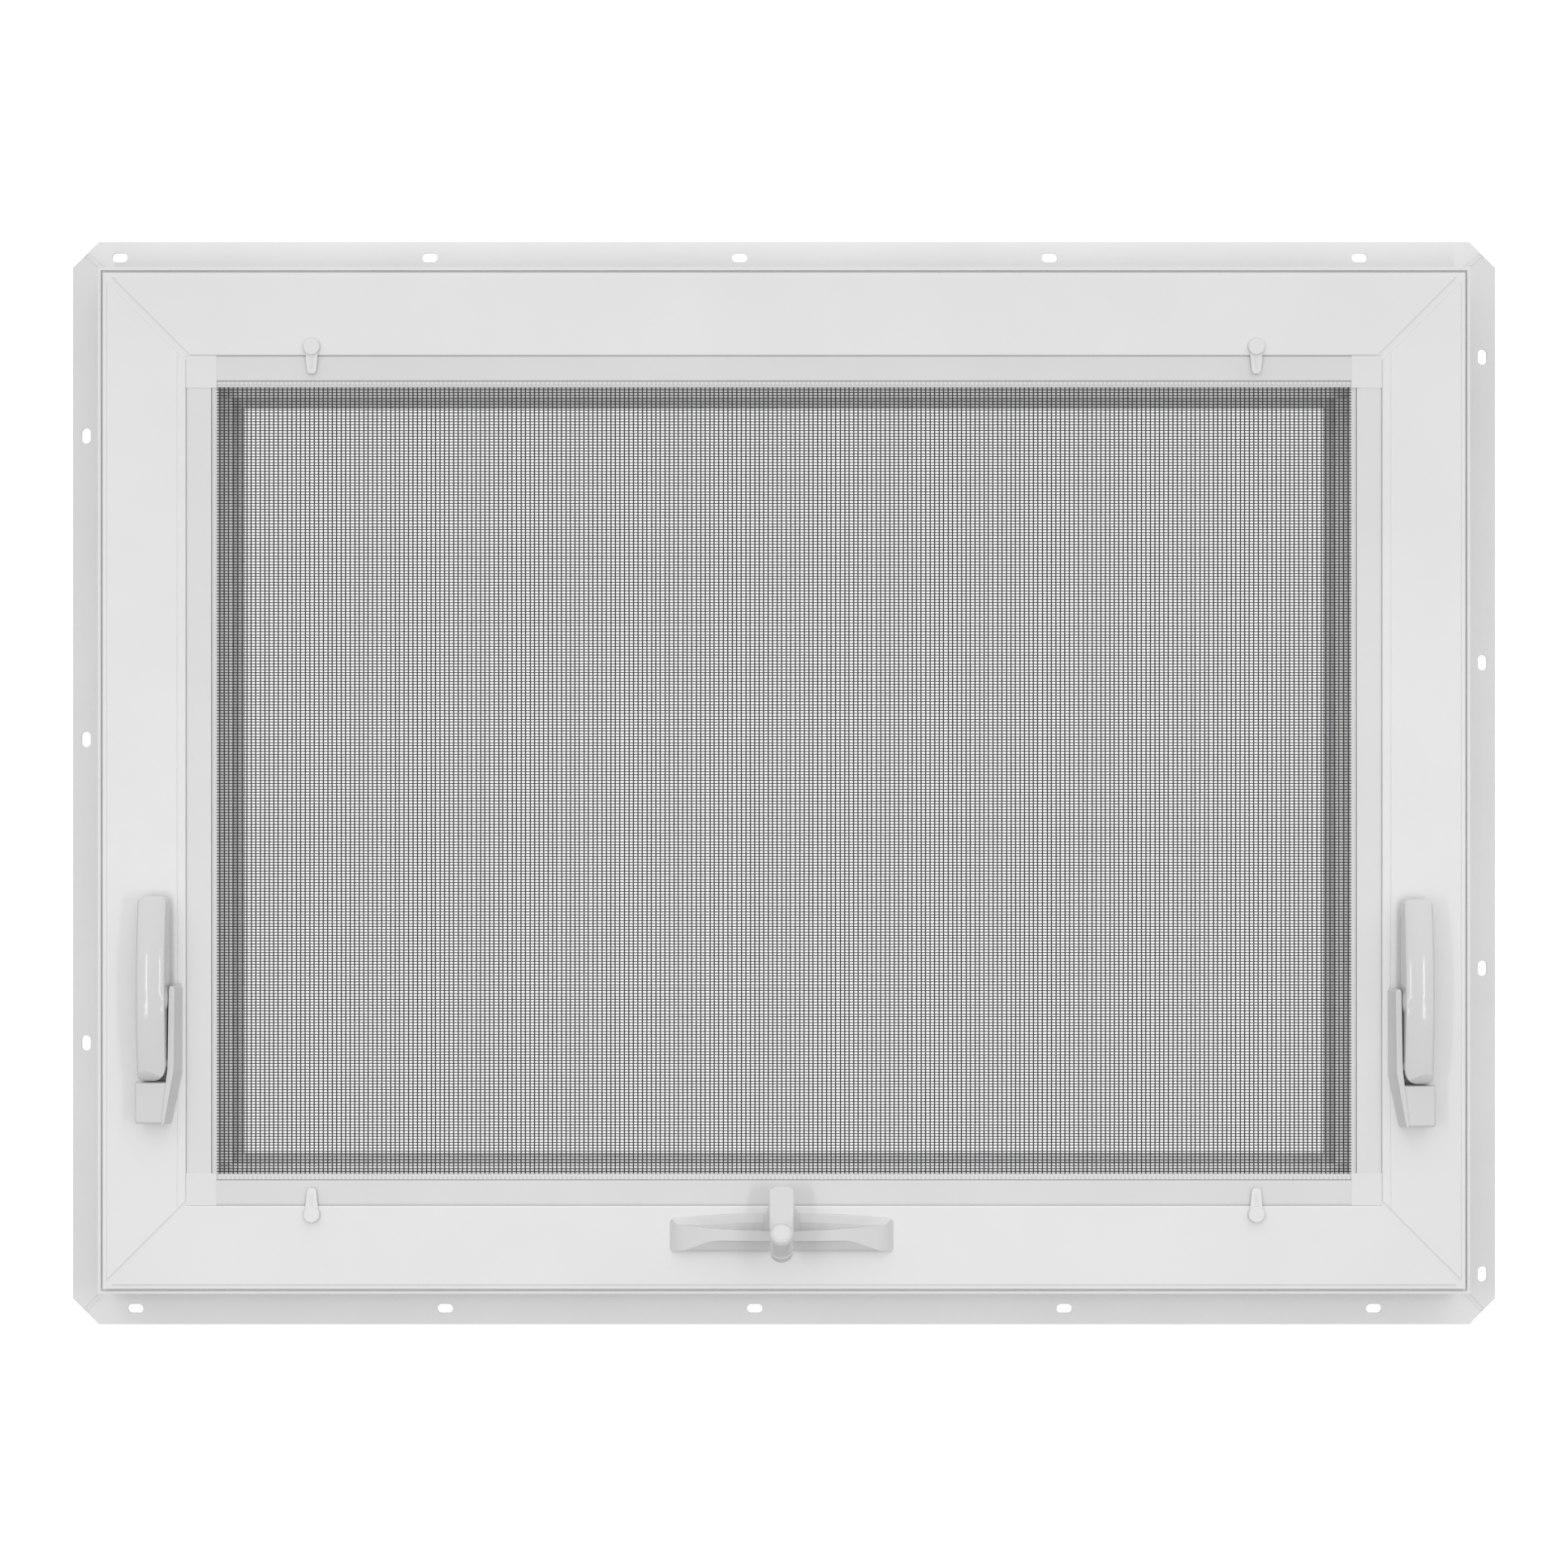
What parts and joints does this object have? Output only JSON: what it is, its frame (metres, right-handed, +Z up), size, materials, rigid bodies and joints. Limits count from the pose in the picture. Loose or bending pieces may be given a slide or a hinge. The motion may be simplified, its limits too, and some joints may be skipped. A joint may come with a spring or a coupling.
{
  "type": "awning window",
  "caption": "Top hung awning window with a mitred frame, nailing fin, inside insect screen, sash locks and a crank operator below sealed double glazing.",
  "frame": {"origin": "bearing face of the sill nailing fin, at the window's mid width and the fin's mid height", "axes": "+X to the right seen from the room, +Z up, the room is at -Y and the outdoors at +Y"},
  "size_m": [0.8544, 0.1539, 0.6503],
  "materials": {
    "vinyl": "satin white extruded vinyl",
    "glass": "clear float glass",
    "spacer": "matt grey spacer bar",
    "seal": "matt black seal",
    "painted_bar": "white roll-formed bar, satin",
    "spline": "light grey ribbed spline",
    "insect_mesh": "black woven fibreglass mesh",
    "hardware_plastic": "white moulded plastic",
    "hardware_enamel": "white enamel on die casting"
  },
  "bodies": {
    "window": {"frame_sill": "vinyl", "frame_head": "vinyl", "frame_jamb_left": "vinyl", "frame_jamb_right": "vinyl", "nail_fin_head": "vinyl", "nail_fin_sill": "vinyl", "nail_fin_left": "vinyl", "nail_fin_right": "vinyl", "sash_bottom_rail": "vinyl", "sash_top_rail": "vinyl", "sash_stile_left": "vinyl", "sash_stile_right": "vinyl", "glazing_bead_bottom": "vinyl", "glazing_bead_top": "vinyl", "glazing_bead_left": "vinyl", "glazing_bead_right": "vinyl", "glass_inner_pane": "glass", "glass_outer_pane": "glass", "glass_spacer": "spacer", "weatherstrip": "seal", "screen_bar_bottom": "painted_bar", "screen_bar_top": "painted_bar", "screen_bar_left": "painted_bar", "screen_bar_right": "painted_bar", "screen_corner_keys": "hardware_plastic", "screen_spline": "spline", "screen_mesh": "insect_mesh", "lock_left_base": "hardware_enamel", "lock_right_base": "hardware_enamel", "operator_cover": "hardware_plastic"},
    "lever_left": {"lock_left_lever": "hardware_enamel"},
    "lever_right": {"lock_right_lever": "hardware_enamel"},
    "crank": {"crank_arm": "hardware_enamel"},
    "knob": {"crank_knob": "hardware_plastic"},
    "clip_top_left": {"screen_clip_top_left": "hardware_plastic"},
    "clip_top_right": {"screen_clip_top_right": "hardware_plastic"},
    "clip_bottom_left": {"screen_clip_bottom_left": "hardware_plastic"},
    "clip_bottom_right": {"screen_clip_bottom_right": "hardware_plastic"}
  },
  "joints": [
    {"name": "crank_turn", "type": "hinge", "parent": "window", "child": "crank", "pos_m": [-0.0014, -0.0803, 0.07462], "axis": [0, -0.8192, 0.5736], "continuous": true},
    {"name": "knob_spin", "type": "hinge", "parent": "crank", "child": "knob", "pos_m": [-0.0014, -0.0998, 0.04677], "axis": [0, -0.8192, 0.5736], "continuous": true},
    {"name": "lever_left_swing", "type": "hinge", "parent": "window", "child": "lever_left", "pos_m": [-0.3676, -0.0605, 0.14913], "axis": [1, 0, 0], "range_deg": [0, 90]},
    {"name": "lever_right_swing", "type": "hinge", "parent": "window", "child": "lever_right", "pos_m": [0.369, -0.0605, 0.14722], "axis": [1, 0, 0], "range_deg": [0, 90]},
    {"name": "clip_top_left_turn", "type": "hinge", "parent": "window", "child": "clip_top_left", "pos_m": [-0.277, -0.0475, 0.56852], "axis": [0, 1, 0], "range_deg": [-90, 90]},
    {"name": "clip_top_right_turn", "type": "hinge", "parent": "window", "child": "clip_top_right", "pos_m": [0.277, -0.0475, 0.56852], "axis": [0, 1, 0], "range_deg": [-90, 90]},
    {"name": "clip_bottom_left_turn", "type": "hinge", "parent": "window", "child": "clip_bottom_left", "pos_m": [-0.277, -0.0475, 0.05973], "axis": [0, 1, 0], "range_deg": [-90, 90]},
    {"name": "clip_bottom_right_turn", "type": "hinge", "parent": "window", "child": "clip_bottom_right", "pos_m": [0.277, -0.0475, 0.05973], "axis": [0, 1, 0], "range_deg": [-90, 90]}
  ]
}
